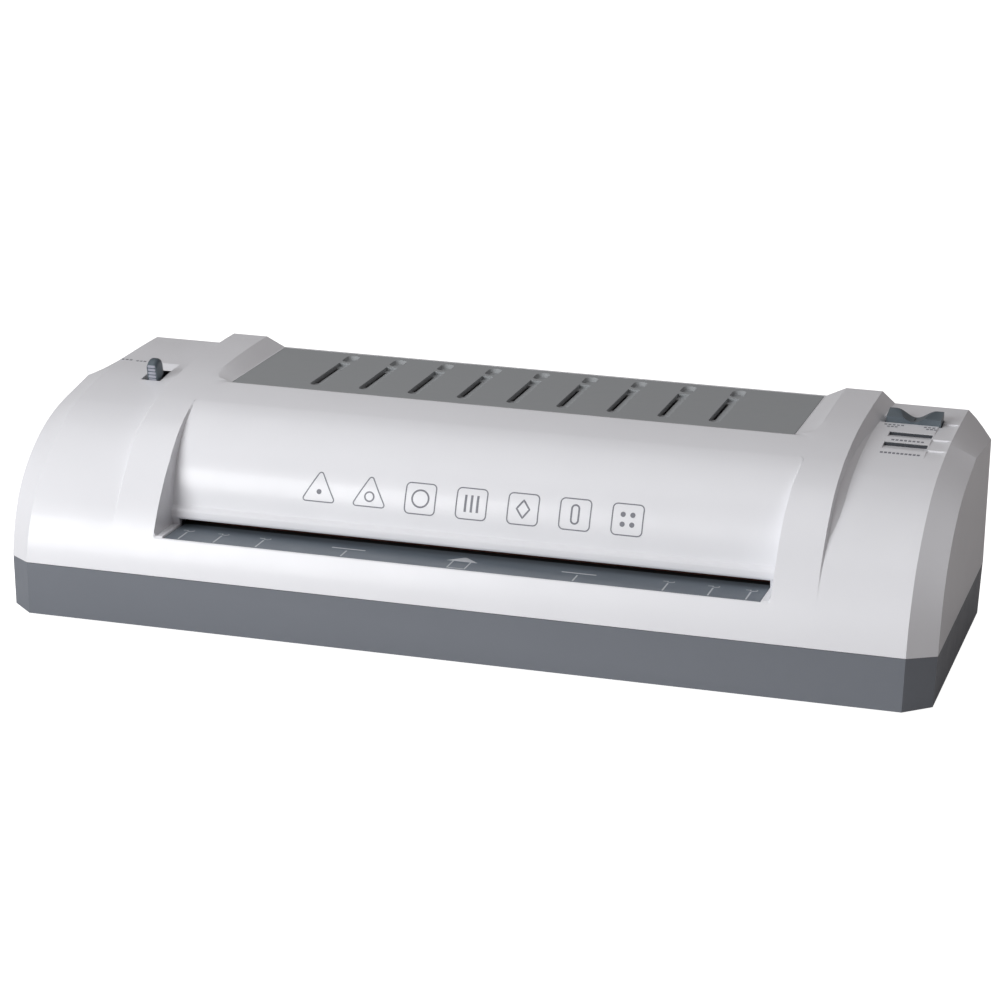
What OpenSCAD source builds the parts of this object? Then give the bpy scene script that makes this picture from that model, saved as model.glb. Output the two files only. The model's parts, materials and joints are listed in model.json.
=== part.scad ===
// Desktop pouch laminator, A3 width, with four driven rollers and heated plates.
// Frame: +X to the right seen from the front, +Y to the rear, +Z up.
// Origin: centre of the footprint on the table.

/* [Body] */
// Overall width
body_w = 489.2; // [480:1:500]
// Overall depth
body_d = 185.6; // [184:0.4:188]
// Height of the parting line between base and cover
part_z = 31; // [30:0.5:32]
// Height of the rubber feet
foot_h = 3; // [2:0.5:4]
// Wall thickness of the moulded shells
wall = 2.5; // [2:0.1:3]
// Chamfer at the front corners and along the top of each end
end_chamfer = 13.8; // [12:0.2:15]
// Chamfer at the rear corners
rear_chamfer = 7.9; // [6:0.1:9]

/* [Feed opening] */
// Half width of the recess above the feed tray
recess_half = 162; // [161:0.5:163]
// Half width of the feed tray
tray_half = 157; // [155:0.5:158]
// Height of the feed tray's upper face
tray_z = 50.2; // [50:0.1:50.6]
// Height of the lower edge of the lip above the slot
lip_z = 54.4; // [54.3:0.1:54.8]

/* [Vent panel] */
// Number of vent slots
vent_count = 9; // [5:1:9]
// Distance between vent slots
vent_pitch = 27.35; // [24:0.05:28]
// Height of the panel's upper face
vent_z = 113.3; // [113:0.1:113.6]

/* [Rollers and gears] */
// Outer radius of the silicone sleeves
roller_r = 11.35; // [11.2:0.05:11.4]
// Radius of the roller journals
journal_r = 4; // [3.5:0.5:4]
// Teeth on each roller gear
roller_teeth = 23; // [23:1:23]
// Teeth on the idler between front and rear rollers
idler_teeth = 57; // [57:1:57]
// Teeth on the motor pinion
pinion_teeth = 18; // [17:1:20]
// Module of every gear
gear_module = 1; // [1:1:1]

/* [Release lever] */
// Swing of the jam release lever in degrees
release_swing = 22; // [18:1:24]
// Forward lean of the lever at rest in degrees
lever_lean = 15; // [14:1:16]
// Rise of the upper rollers when released
release_lift = 1.5; // [1:0.1:1.5]

/* [Hidden] */

eps = 0.01;
gap = 0.3;
half_w = body_w / 2;
half_d = body_d / 2;
crease_x = half_w - end_chamfer;
ridge_rise = 6;
ridge_out = 185.5;
ridge_foot = 193.3;
rear_y = half_d;

// Path of the end sections: arcs that bend from steep to level, [start heading, end heading, radius]
end_arcs = [[84, 40, 72], [40, 13, 120], [13, 3, 300], [3, 0, 1100]];
// Path of the sunken centre panel above the lip
panel_lip = [-62.5, 59.5];
panel_rise = 8;
panel_arcs = [[83, 40, 44], [40, 18.6, 67]];
panel_heading = panel_arcs[0][0];
tray_front = -half_d + 6.2;

// Moving parts
front_y = -38;
back_y = 42;
low_z = 40.5;
high_z = low_z + gear_module * roller_teeth;
sleeve_half = 160;
core_r = 8;
frame_in = 172;
frame_t = 1.5;
frame_out = frame_in + frame_t;
gear_x = 182;
gear_w = 7;
idler_y = (front_y + back_y) / 2;
pinion_dir = 75;
pinion_dist = gear_module * (idler_teeth + pinion_teeth) / 2;
pinion_y = idler_y + pinion_dist * cos(pinion_dir);
pinion_z = low_z + pinion_dist * sin(pinion_dir);
bracket_x = 191.5;
release_y = 22;
release_z = 80;
cam_r = 6;
cam_offset = release_lift / sin(release_swing);
cam_gap = 0.1;
lever_x = -200.8;
// Opening for the lever: left, right, front and rear edge
lever_slot = [-206.5, -196.4, 8.6, 31.5];
rocker_x = 207.3;
rocker_y = 57.8;
rocker_pivot_z = 107;

cover_color = [0.92, 0.92, 0.94];
slate_color = [0.46, 0.48, 0.53];
dark_color = [0.30, 0.34, 0.37];
steel_color = [0.72, 0.73, 0.75];

// ---------- paths ----------

// Points [y, z, heading] along an arc that starts at p
function arc_path(p, a0, a1, r, n) = [
    for (i = [0:n]) let (a = a0 + (a1 - a0) * i / n)
        [p[0] + r * (sin(a0) - sin(a)), p[1] + r * (cos(a) - cos(a0)), a]
];

// Arcs joined end to end
function chain(p, arcs, n, k = 0) =
    k >= len(arcs) ? [] :
    let (seg = arc_path(p, arcs[k][0], arcs[k][1], arcs[k][2], n), last = seg[len(seg) - 1])
    concat(k == 0 ? seg : [for (i = [1:len(seg) - 1]) seg[i]], chain([last[0], last[1]], arcs, n, k + 1));

// Smooth step from 0 at t = 0 to 1 at t = 1
function smooth(t) = t <= 0 ? 0 : t >= 1 ? 1 : t * t * (3 - 2 * t);

function shifted(path, d) = [for (q = path) [q[0] - d * sin(q[2]), q[1] + d * cos(q[2])]];

end_path = chain([-half_d, part_z], end_arcs, 7);
function ridge_lift(y) = ridge_rise * smooth((y + 88) / 46);
function ridge_points(d) = [
    for (q = end_path) let (s = d + ridge_lift(q[0])) [q[0] - s * sin(q[2]), q[1] + s * cos(q[2])]
];
// The end wall's outline: the chamfer narrows towards the front crest, then two straight edges
function side_points(d) = concat(
    [for (q = end_path) if (q[0] < -12)
        let (s = d - end_chamfer + 7 * smooth((q[1] - part_z) / 68)) [q[0] - s * sin(q[2]), q[1] + s * cos(q[2])]],
    [[18.7, 104.6 + d], [rear_y, 98.4 + d]]
);

// The path closed down to z0 and back to the rear wall at y1
function closed(points, z0, y1) = concat(
    [[points[0][0], z0]],
    [for (q = points) if (q[0] < y1) q],
    [[y1, points[len(points) - 1][1]], [y1, z0]]
);

panel_start = [panel_lip[0] + panel_rise * cos(panel_heading), panel_lip[1] + panel_rise * sin(panel_heading)];
panel_path = chain(panel_start, panel_arcs, 7);

// Slab of a YZ outline between two X values
module slab(points, x0, x1) {
    translate([x0, 0, 0]) rotate([90, 0, 90]) linear_extrude(x1 - x0) polygon(points);
}

// Cylinder along +X
module rod(y, z, r, x0, x1) {
    translate([x0, y, z]) rotate([0, 90, 0]) cylinder(r = r, h = x1 - x0, $fn = 48);
}

// Box given by its lowest and highest corners
module block(a, b) {
    translate(a) cube([b[0] - a[0], b[1] - a[1], b[2] - a[2]]);
}

module both_sides() {
    children();
    mirror([1, 0, 0]) children();
}

// ---------- housing ----------

// Footprint with chamfered corners, pulled in by d
module footprint(d) {
    w = half_w - d;
    y0 = -half_d + d;
    y1 = half_d - d;
    c = end_chamfer - 0.4 * d;
    b = rear_chamfer - 0.4 * d;
    polygon([
        [-w + c, y0], [w - c, y0], [w, y0 + c], [w, y1 - b],
        [w - b, y1], [-w + b, y1], [-w, y1 - b], [-w, y0 + c]
    ]);
}

screw_spots = [[-238.2, -60], [238.2, -60], [-238.2, 66], [238.2, 66], [-80, 86], [80, 86]];
screw_seat_z = 20;
inlet_x = 205;

module base_tray() {
    color(slate_color) difference() {
        union() {
            difference() {
                hull() {
                    translate([0, 0, foot_h]) linear_extrude(eps) footprint(1.1);
                    translate([0, 0, part_z - gap]) linear_extrude(eps) footprint(0.1);
                }
                translate([0, 0, foot_h + wall]) linear_extrude(part_z) footprint(wall + 1.1);
            }
            intersection() {
                for (p = screw_spots) translate([p[0], p[1], foot_h + eps]) cylinder(r = 5, h = part_z - gap - foot_h);
                translate([0, 0, foot_h]) linear_extrude(part_z - gap - foot_h) footprint(1.5);
            }
            for (x = [-120:60:120]) block([x - 1, -half_d + 3, foot_h + 1], [x + 1, half_d - 3, foot_h + wall + 4]);
        }
        for (p = screw_spots) {
            translate([p[0], p[1], 0]) cylinder(r = 3.8, h = screw_seat_z, $fn = 32);
            translate([p[0], p[1], 0]) cylinder(r = 1.8, h = part_z + 5, $fn = 32);
        }
        block([inlet_x - 15.5, rear_y - 6, 6], [inlet_x + 15.5, rear_y + 1, 29]);
        for (x = [-200:8:-136], y = [-30:60:30]) translate([x, y, 0]) linear_extrude(9) square([3, 40], center = true);
    }
}

// Right and left ends: the end path out to the crease, then the chamfer to the end wall
module end_block(d) {
    both_sides() hull() {
        slab(closed(shifted(end_path, d), part_z - 5 * abs(sign(d)), rear_y + d), ridge_out, crease_x + 0.4 * d);
        slab(closed(side_points(d), part_z - 5 * abs(sign(d)), rear_y + d - rear_chamfer), half_w - 0.1 + d, half_w + d);
    }
}

// Ridges and everything between them, before the recess is cut
module ridge_block(d) {
    foot = ridge_foot + 0.4 * d;
    hull() {
        slab(closed(ridge_points(d), part_z - 5 * abs(sign(d)), rear_y + d), -ridge_out - 0.4 * d, ridge_out + 0.4 * d);
        slab(closed(shifted(end_path, d), part_z - 5 * abs(sign(d)), rear_y + d), -foot, foot);
    }
}

// Hollow in front of the centre panel and above the feed tray, grown by d
module recess(d) {
    path = shifted(panel_path, -d);
    lip_y = panel_lip[0] + d;
    slab(concat([[lip_y, tray_z - d]], [[lip_y, panel_lip[1]]], path, [[-20, 135], [-120, 135], [-120, tray_z - d]]),
        -recess_half - d, recess_half + d);
}

// Lip above the feed slot: a rounded band along the panel's lower edge
module lip_band() {
    hull() for (z = [lip_z + 1.8, panel_lip[1] - 1]) rod(panel_lip[0] - 0.4, z, 1.8, -recess_half - 1, recess_half + 1);
}

module cavity() {
    end_block(-wall);
    difference() {
        ridge_block(-wall);
        recess(wall);
        block([-recess_half - wall, -40, vent_z - 3 - wall], [recess_half + wall, rear_y + 1, 130]);
    }
}

// Indicator windows: left, right, front and rear edge of each ramp, height of the cover at front and rear
windows = [[197.7, 220.2, 27.5, 36.2, 110.45, 111], [197.7, 220.2, 10, 19.2, 108.6, 109.75]];
ramp_depth = 1.8;
module ramp(w) {
    translate([w[0], 0, 0]) rotate([90, 0, 90]) linear_extrude(w[1] - w[0]) {
        polygon([[w[2], w[4]], [w[3], w[5] - ramp_depth], [w[3], w[4] + 9], [w[2], w[4] + 9]]);
    }
}

boss_top = 46;
module top_cover() {
    color(cover_color) difference() {
        union() {
            difference() {
                union() {
                    end_block(0);
                    difference() {
                        ridge_block(0);
                        recess(0);
                    }
                    lip_band();
                }
                cavity();
            }
            intersection() {
                for (p = screw_spots) translate([p[0], p[1], part_z]) cylinder(r = 5, h = boss_top - part_z, $fn = 24);
                linear_extrude(100) footprint(0.5);
            }
        }
        for (p = screw_spots) translate([p[0], p[1], 20]) cylinder(r = 1.6, h = 24, $fn = 16);
        // slanted inner flanks of the ridges and the flat seat between them
        slab_x = [[-154, vent_z], [154, vent_z], [166, vent_z + 5.1], [-166, vent_z + 5.1]];
        translate([0, rear_y + 1, 0]) rotate([90, 0, 0]) linear_extrude(rear_y + 20) polygon(slab_x);
        block([-153.5, 7, vent_z - 3], [153.5, 90, 130]);
        block([-148, 12, 80], [148, 85, 130]);
        // feed opening and exit slot
        block([-tray_half, tray_front - gap, 44], [tray_half, -50, lip_z]);
        block([-tray_half, 80, 0], [tray_half, rear_y + 1, exit_z + exit_h / 2 + exit_flange + gap]);
        // rocker, windows and lever slot
        block([rocker_x - 15.5, rocker_y - 6.2, 90], [rocker_x + 15.5, rocker_y + 6.2, 130]);
        for (w = windows) {
            ramp(w);
            block([w[0], w[3] - 1.6, 90], [w[1], w[3], 130]);
        }
        block([lever_slot[0], lever_slot[2], 90], [lever_slot[1], lever_slot[3], 130]);
        // lower edge stays clear of the base
        block([-300, -200, 0], [300, 200, part_z]);
    }
}

module vent_panel() {
    color([0.50, 0.51, 0.52]) difference() {
        block([-153.2, 7.3, vent_z - 2.8], [153.2, 89.7, vent_z]);
        for (i = [0:vent_count - 1]) translate([(i - (vent_count - 1) / 2) * vent_pitch, 0, 0]) {
            block([-3.5, 22, vent_z - 1.4], [3.5, 84, vent_z + 1]);
            translate([0, 84, vent_z - 1.4]) cylinder(r = 3.5, h = 3, $fn = 32);
            translate([0, 22, vent_z - 1.4]) cylinder(r = 3.5, h = 3, $fn = 32);
            block([-3.2, 24, vent_z - 4], [-0.4, 78, vent_z]);
        }
    }
}

module feed_tray() {
    color(dark_color) union() {
        block([-tray_half + gap, tray_front, tray_z - 2.2], [tray_half - gap, -52, tray_z]);
        for (x = [-150:50:150]) block([x - 0.8, -84, tray_z - 8], [x + 0.8, -55, tray_z - 2]);
    }
}

// Passage the finished pouch leaves by: middle height, clear height and height of the flange above it
exit_z = 52;
exit_h = 10;
exit_flange = 6.7;
module exit_guide() {
    half = tray_half - gap;
    top = exit_z + exit_h / 2;
    bottom = exit_z - exit_h / 2;
    color(dark_color) {
        union() {
            block([-half, 62, top], [half, rear_y, top + 2]);
            block([-half, rear_y - wall, top + 1], [half, rear_y, top + exit_flange]);
        }
        union() {
            block([-half, 62, bottom - 2], [half, rear_y, bottom]);
            block([-half, rear_y - wall, part_z], [half, rear_y, bottom - 1]);
        }
    }
}

foot_spots = [[-214, -70], [214, -70], [-214, 70], [214, 70]];
module rubber_feet() {
    color([0.1, 0.1, 0.1]) for (p = foot_spots) translate([p[0], p[1], 0]) {
        cylinder(r = 8, h = foot_h - 0.02, $fn = 48);
    }
}

module housing_screws() {
    color(steel_color) for (p = screw_spots) translate([p[0], p[1], screw_seat_z]) {
        translate([0, 0, -2.4]) cylinder(r = 3.1, h = 2.38, $fn = 32);
        translate([0, 0, -0.05]) cylinder(r = 1.5, h = 22, $fn = 32);
    }
}

module rating_plate() {
    color([0.8, 0.8, 0.8]) block([40, -20, foot_h - 0.4], [110, 20, foot_h - 0.02]);
}

// ---------- frame ----------

frame_z0 = foot_h + wall + 0.1;
frame_top = 90;
slot_half = 7.2;
module side_frame(side) {
    mirror([side < 0 ? 1 : 0, 0, 0]) color(steel_color) difference() {
        union() {
            block([frame_in, -50, frame_z0], [frame_out, 58, frame_top]);
            block([frame_in, -50, frame_z0], [frame_out + 12, 58, frame_z0 + frame_t]);
            for (y = [front_y, back_y]) block([frame_in - 8, y - 8, frame_top - frame_t], [frame_in + 1, y + 8, frame_top]);
        }
        for (y = [front_y, back_y]) {
            rod(y, low_z, 7.05, frame_in - 5, frame_out + 5);
            block([frame_in - 5, y - slot_half, high_z - 7.5], [frame_out + 5, y + slot_half, high_z + 10]);
        }
        rod(release_y, release_z, journal_r + 0.05, frame_in - 5, frame_out + 5);
        rod(idler_y, low_z, 3.02, frame_in - 5, frame_out + 5);
        for (p = standoff_spots) rod(p[0], p[1], 1.6, frame_in - 5, frame_out + 5);
        for (p = tie_spots) rod(p[0], p[1], 2.05, frame_in - 5, frame_out + 5);
        for (y = [-42, 50]) translate([frame_out + 7, y, 0]) cylinder(r = 1.8, h = 20, $fn = 32);
    }
}

module left_side_frame() {
    side_frame(-1);
}

module right_side_frame() {
    side_frame(1);
}

tie_spots = [[-46, 18], [52, 18], [2, 86]];
module tie_bars() {
    color(steel_color) for (p = tie_spots) {
        rod(p[0], p[1], 4, -frame_in + 0.02, frame_in - 0.02);
    }
}

module frame_screws() {
    color([0.6, 0.6, 0.62]) both_sides() {
        for (p = tie_spots) rod(p[0], p[1], 3.5, frame_out + 0.02, frame_out + 2);
        for (y = [-42, 50]) translate([frame_out + 7, y, frame_z0 + frame_t + 0.02]) cylinder(r = 3.2, h = 2, $fn = 32);
    }
}

module lower_bushes() {
    color([0.85, 0.82, 0.7]) both_sides() for (y = [front_y, back_y]) difference() {
        union() {
            rod(y, low_z, 7, frame_in - 3, frame_out + 1);
            rod(y, low_z, 9, frame_in - 3, frame_in - 0.02);
        }
        rod(y, low_z, journal_r + 0.05, frame_in - 10, frame_out + 10);
    }
}

// ---------- rollers ----------

module roller_shaft(y, z) {
    color([0.78, 0.79, 0.8]) {
        rod(y, z, core_r, -sleeve_half - 3, sleeve_half + 3);
        rod(y, z, journal_r, -frame_out - 5, gear_x + gear_w + 1);
    }
}

module roller_sleeve(y, z) {
    color([0.75, 0.35, 0.22]) difference() {
        rod(y, z, roller_r, -sleeve_half, sleeve_half);
        rod(y, z, core_r + 0.02, -sleeve_half - 1, sleeve_half + 1);
    }
}

// Involute spur gear outline with its first tooth centred on angle phase
pressure_angle = 20;
backlash = 0.3;
function involute(a) = tan(a) * 180 / PI - a;
function flank_angle(teeth, r) = let (
    rp = gear_module * teeth / 2,
    rb = rp * cos(pressure_angle),
    a = r > rb ? acos(rb / r) : 0
) 90 / teeth - backlash / rp * 45 / PI + involute(pressure_angle) - involute(a);
flank_steps = 5;
module gear_outline(teeth, phase) {
    r0 = gear_module * (teeth / 2 - 1.25);
    r1 = gear_module * (teeth / 2 + 0.9);
    radii = [for (k = [0:flank_steps]) r0 + (r1 - r0) * k / flank_steps];
    polygon([for (i = [0:teeth - 1], s = [-1, 1], k = [0:flank_steps])
        let (r = radii[s < 0 ? k : flank_steps - k], a = phase + i * 360 / teeth + s * flank_angle(teeth, r))
        [r * cos(a), r * sin(a)]]);
}

// Tooth phase that puts a gear in mesh with one whose first tooth is at angle drive_phase
function mesh_phase(drive_teeth, drive_phase, direction, teeth) =
    direction + 180 + 360 / teeth * (0.5 - (drive_phase - direction) * drive_teeth / 360);

module gear(y, z, teeth, phase, bore, hub_r) {
    difference() {
        union() {
            translate([gear_x, y, z]) rotate([90, 0, 90]) linear_extrude(gear_w) gear_outline(teeth, phase);
            rod(y, z, hub_r, gear_x - 1.5, gear_x + gear_w);
        }
        rod(y, z, bore, gear_x - 10, gear_x + gear_w + 10);
    }
}

module roller_gear(y, z, phase) {
    color([0.9, 0.88, 0.8]) gear(y, z, roller_teeth, phase, journal_r + 0.02, 7);
}

upper_phase = mesh_phase(roller_teeth, 0, 90, roller_teeth);
module lower_front_shaft() { roller_shaft(front_y, low_z); }
module lower_front_sleeve() { roller_sleeve(front_y, low_z); }
module lower_front_gear() { roller_gear(front_y, low_z, 0); }
module lower_rear_shaft() { roller_shaft(back_y, low_z); }
module lower_rear_sleeve() { roller_sleeve(back_y, low_z); }
module lower_rear_gear() { roller_gear(back_y, low_z, 0); }
module upper_front_shaft() { roller_shaft(front_y, high_z); }
module upper_front_sleeve() { roller_sleeve(front_y, high_z); }
module upper_front_gear() { roller_gear(front_y, high_z, upper_phase); }
module upper_rear_shaft() { roller_shaft(back_y, high_z); }
module upper_rear_sleeve() { roller_sleeve(back_y, high_z); }
module upper_rear_gear() { roller_gear(back_y, high_z, upper_phase); }

module idler_gear() {
    color([0.9, 0.88, 0.8]) difference() {
        gear(idler_y, low_z, idler_teeth, 0, 3.05, 6);
        for (a = [0:60:300]) rod(idler_y + 16 * cos(a), low_z + 16 * sin(a), 5.5, gear_x - 5, gear_x + gear_w + 5);
    }
}

module idler_stud() {
    color(steel_color) {
        rod(idler_y, low_z, 3, frame_in - 1, gear_x + gear_w + 0.4);
        rod(idler_y, low_z, 5, frame_out + 0.02, gear_x - 2);
        rod(idler_y, low_z, 4.5, gear_x + gear_w + 0.4, bracket_x - 0.02);
        rod(idler_y, low_z, 2, bracket_x - 1, bracket_x + 4);
    }
}

module motor_pinion() {
    color([0.9, 0.88, 0.8]) gear(pinion_y, pinion_z, pinion_teeth, mesh_phase(idler_teeth, 0, pinion_dir, pinion_teeth), 2.52, 5);
}

// ---------- drive motor ----------

motor_r = 21;
motor_w = 20;
ear_r = 26;
ear_dirs = [0, 180];
module motor_bracket() {
    color(steel_color) difference() {
        block([bracket_x, standoff_spots[0][0] - 6, low_z - 8], [bracket_x + 1.5, standoff_spots[1][0] + 5, frame_top + 1]);
        block([bracket_x - 1, idler_y + 9, low_z - 9], [bracket_x + 3, standoff_spots[1][0] + 6, pinion_z - 14]);
        rod(idler_y, low_z, 2.05, bracket_x - 1, bracket_x + 3);
        rod(pinion_y, pinion_z, 8, bracket_x - 1, bracket_x + 3);
        for (p = standoff_spots) rod(p[0], p[1], 1.6, bracket_x - 1, bracket_x + 3);
        for (a = ear_dirs) rod(pinion_y + ear_r * cos(a), pinion_z + ear_r * sin(a), 1.6, bracket_x - 1, bracket_x + 3);
    }
}

standoff_spots = [[-22, 84], [51, 84]];
module motor_standoffs() {
    color([0.8, 0.75, 0.5]) for (p = standoff_spots) translate([frame_out + 0.02, p[0], p[1]]) {
        rotate([0, 90, 0]) cylinder(r = 3.2, h = bracket_x - frame_out - 0.04, $fn = 6);
    }
}

module drive_motor() {
    face = bracket_x + 1.52;
    color([0.75, 0.75, 0.76]) difference() {
        union() {
            rod(pinion_y, pinion_z, motor_r, face, face + motor_w);
            rod(pinion_y, pinion_z, 6, gear_x + gear_w + 0.6, face + 1);
            hull() for (a = ear_dirs) rod(pinion_y + ear_r * cos(a), pinion_z + ear_r * sin(a), 4.5, face, face + 1);
            rod(pinion_y, pinion_z, 2.5, gear_x - 1, face);
        }
        for (a = ear_dirs) rod(pinion_y + ear_r * cos(a), pinion_z + ear_r * sin(a), 1.6, face - 1, face + 3);
    }
}

module motor_screws() {
    face = bracket_x + 2.54;
    color(steel_color) for (a = ear_dirs) {
        rod(pinion_y + ear_r * cos(a), pinion_z + ear_r * sin(a), 3, face, face + 2);
        rod(pinion_y + ear_r * cos(a), pinion_z + ear_r * sin(a), 1.5, bracket_x - 2, face + 0.5);
    }
}

// ---------- lift carriage and release ----------

plate_x = frame_out + 2.5;
plate_t = 1.5;
module lift_plates() {
    color(steel_color) both_sides() difference() {
        union() {
            block([plate_x, front_y - 9, high_z - 9], [plate_x + plate_t, back_y + 9, high_z + 9]);
            block([plate_x, release_y - 16, high_z], [plate_x + plate_t, release_y + 14, release_z + cam_r + 5]);
        }
        for (y = [front_y, back_y]) rod(y, high_z, 6.02, plate_x - 1, plate_x + plate_t + 1);
        block([plate_x - 1, release_y - 12, release_z - cam_r - 6], [plate_x + plate_t + 1, release_y + 10, release_z + cam_r + cam_gap]);
        for (y = [-18, -4]) block([plate_x - 1, y - 5, high_z - 4], [plate_x + plate_t + 1, y + 5, high_z + 4]);
    }
}

module upper_bushes() {
    color([0.85, 0.82, 0.7]) both_sides() for (y = [front_y, back_y]) difference() {
        union() {
            block([frame_in - 7, y - 7, high_z - 7], [frame_out + 0.5, y + 7, high_z + 7]);
            rod(y, high_z, 6, frame_out, plate_x + plate_t + 1);
        }
        rod(y, high_z, journal_r + 0.05, frame_in - 12, plate_x + 12);
    }
}

// Coil spring: a round wire swept along a helix
spring_r = 2.9;
wire_r = 0.5;
spring_turns = 5;
spring_z0 = high_z + 7 + wire_r + 0.05;
spring_z1 = frame_top - frame_t - wire_r - 0.05;
wire_sides = 6;
turn_steps = 14;
module coil_spring() {
    steps = spring_turns * turn_steps;
    points = [for (i = [0:steps], j = [0:wire_sides - 1])
        let (a = 360 * i / turn_steps, b = 360 * j / wire_sides, r = spring_r + wire_r * cos(b))
        [r * cos(a), r * sin(a), (spring_z1 - spring_z0) * i / steps + wire_r * sin(b)]];
    sides = [for (i = [0:steps - 1], j = [0:wire_sides - 1]) let (k = (j + 1) % wire_sides)
        [i * wire_sides + j, i * wire_sides + k, (i + 1) * wire_sides + k, (i + 1) * wire_sides + j]];
    ends = [[for (j = [wire_sides - 1:-1:0]) j], [for (j = [0:wire_sides - 1]) steps * wire_sides + j]];
    polyhedron(points, [for (f = concat(sides, ends)) [for (n = [len(f) - 1:-1:0]) f[n]]], convexity = 8);
}

module pressure_springs() {
    color([0.6, 0.6, 0.62]) both_sides() for (y = [front_y, back_y]) {
        translate([frame_in - 3.6, y, spring_z0]) coil_spring();
    }
}

module release_shaft() {
    color(steel_color) rod(release_y, release_z, journal_r, lever_x - 3.6, plate_x + 4);
}

module release_cams() {
    color([0.3, 0.3, 0.32]) both_sides() difference() {
        hull() {
            rod(release_y - cam_offset, release_z, cam_r, plate_x - 0.6, plate_x + plate_t + 0.6);
            rod(release_y, release_z, 5.2, plate_x - 0.6, plate_x + plate_t + 0.6);
        }
        rod(release_y, release_z, journal_r + 0.02, plate_x - 3, plate_x + 6);
    }
}

knob_z = 113.5;
knob_half = 4.5;
module release_lever() {
    reach = (knob_z - release_z) / cos(lever_lean);
    color(dark_color) difference() {
        translate([lever_x, release_y, release_z]) rotate([lever_lean, 0, 0]) union() {
            rotate([0, 90, 0]) cylinder(r = 8, h = 6, center = true, $fn = 48);
            translate([-2, -4, 0]) cube([4, 8, reach - 2]);
            translate([-3, 0, 0]) rotate([90, 0, 90]) linear_extrude(6) knob_outline(reach);
        }
        rod(release_y, release_z, journal_r + 0.02, lever_x - 9, lever_x + 9);
    }
}

// Side view of the knob: rounded top and small grip ribs on the front
module knob_outline(reach) {
    union() {
        translate([-knob_half, reach - 5]) square([2 * knob_half, 6.5]);
        intersection() {
            translate([-knob_half, reach + 1.4]) square([2 * knob_half, 5.2]);
            translate([0, reach - 0.4]) circle(r = 6.9, $fn = 48);
        }
        for (k = [0:3]) translate([-knob_half - 0.35, reach - 2.4 + 1.9 * k]) square([1, 0.9]);
    }
}

// ---------- heating ----------

heater_y0 = -23;
heater_y1 = 27;
module lower_heater_plate() {
    color([0.8, 0.8, 0.82]) block([-frame_in + 0.2, heater_y0, 48], [frame_in - 0.2, heater_y1, 51.3]);
}

module upper_heater_plate() {
    color([0.8, 0.8, 0.82]) union() {
        block([-frame_in + 0.2, heater_y0, 53], [frame_in - 0.2, heater_y1, 56]);
        for (y = [heater_y0, heater_y1 - 2]) block([-frame_in + 9, y, 55], [frame_in - 9, y + 2, 62]);
    }
}

module lower_element() {
    color([0.7, 0.6, 0.35]) block([-150, -16, 46.4], [150, 20, 47.98]);
}

module upper_element() {
    color([0.7, 0.6, 0.35]) block([-150, -16, 56.02], [150, 20, 57.6]);
}

module thermostat() {
    color([0.2, 0.2, 0.22]) translate([40, 2, 57.62]) {
        cylinder(r = 8, h = 7, $fn = 48);
        translate([0, 0, 3.5]) cube([30, 6, 1], center = true);
    }
}

module thermal_fuse() {
    color([0.85, 0.85, 0.8]) rod(2, 60.2, 2.4, -60, -42);
}

module heat_shield() {
    color([0.82, 0.83, 0.85]) difference() {
        union() {
            block([-frame_in + 9, -28, 91], [frame_in - 9, 58, 92]);
            both_sides() block([frame_in - 9.5, -28, frame_top + 0.02], [frame_in + 1, 58, 92]);
        }
        for (x = [-140:20:140]) translate([x, 15, 80]) linear_extrude(20) square([8, 40], center = true);
    }
}

// ---------- controls ----------

rocker_half = 14.3;
rocker_depth = 11.4;
hump_x = 10.7;
// Height of the rocker's top: a dip between two humps, cut off by a plane that falls towards the front
function rocker_wave(x) = 112.7 + 2.15 * (1 - cos(180 * min(1, abs(x) / hump_x)));
rocker_fall = [[-7, 114.6], [7, 117.3]];
module mode_rocker() {
    steps = 24;
    wave = [for (i = [0:steps]) let (x = rocker_half * (1 - 2 * i / steps)) [x, rocker_wave(x) - rocker_pivot_z]];
    color(dark_color) difference() {
        translate([rocker_x, rocker_y + rocker_depth / 2, rocker_pivot_z]) rotate([90, 0, 0]) linear_extrude(rocker_depth) {
            polygon(concat([[-rocker_half, 3], [-8, -6], [8, -6], [rocker_half, 3]], wave));
        }
        rod_y(rocker_x, rocker_pivot_z, 1.55, rocker_y - 8, rocker_y + 8);
        translate([0, rocker_y, 0]) slab(concat(rocker_fall, [[7, 125], [-7, 125]]), rocker_x - 20, rocker_x + 20);
    }
}

module rocker_housing() {
    color([0.12, 0.12, 0.13]) difference() {
        union() {
            block([rocker_x - 17.5, rocker_y - 8, 92], [rocker_x + 17.5, rocker_y + 8, 108.8]);
            for (x = [-10, 0, 10]) block([rocker_x + x - 0.4, rocker_y - 3, 79], [rocker_x + x + 0.4, rocker_y + 3, 93]);
        }
        block([rocker_x - 16, rocker_y - 6.1, 96], [rocker_x + 16, rocker_y + 6.1, 120]);
        rod_y(rocker_x, rocker_pivot_z, 1.52, rocker_y - 9, rocker_y + 9);
    }
}

module rocker_pin() {
    color(steel_color) rod_y(rocker_x, rocker_pivot_z, 1.5, rocker_y - 7.8, rocker_y + 7.8);
}

// Cylinder along +Y
module rod_y(x, z, r, y0, y1) {
    translate([x, y0, z]) rotate([-90, 0, 0]) cylinder(r = r, h = y1 - y0, $fn = 32);
}

// Smoked window at the deep end of a ramp, with a light pipe foot under the cover
module window(w) {
    block([w[0] + 0.2, w[3] - 1.4, w[5] - 5.2], [w[1] - 0.2, w[3] - 0.2, w[5] - 0.2]);
    block([w[0] - 1.5, w[3] - 7, w[5] - 6.4], [w[1] + 1.5, w[3] + 1, w[5] - 5.2]);
}

module ready_window() {
    color([0.2, 0.22, 0.24]) window(windows[0]);
}

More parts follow.
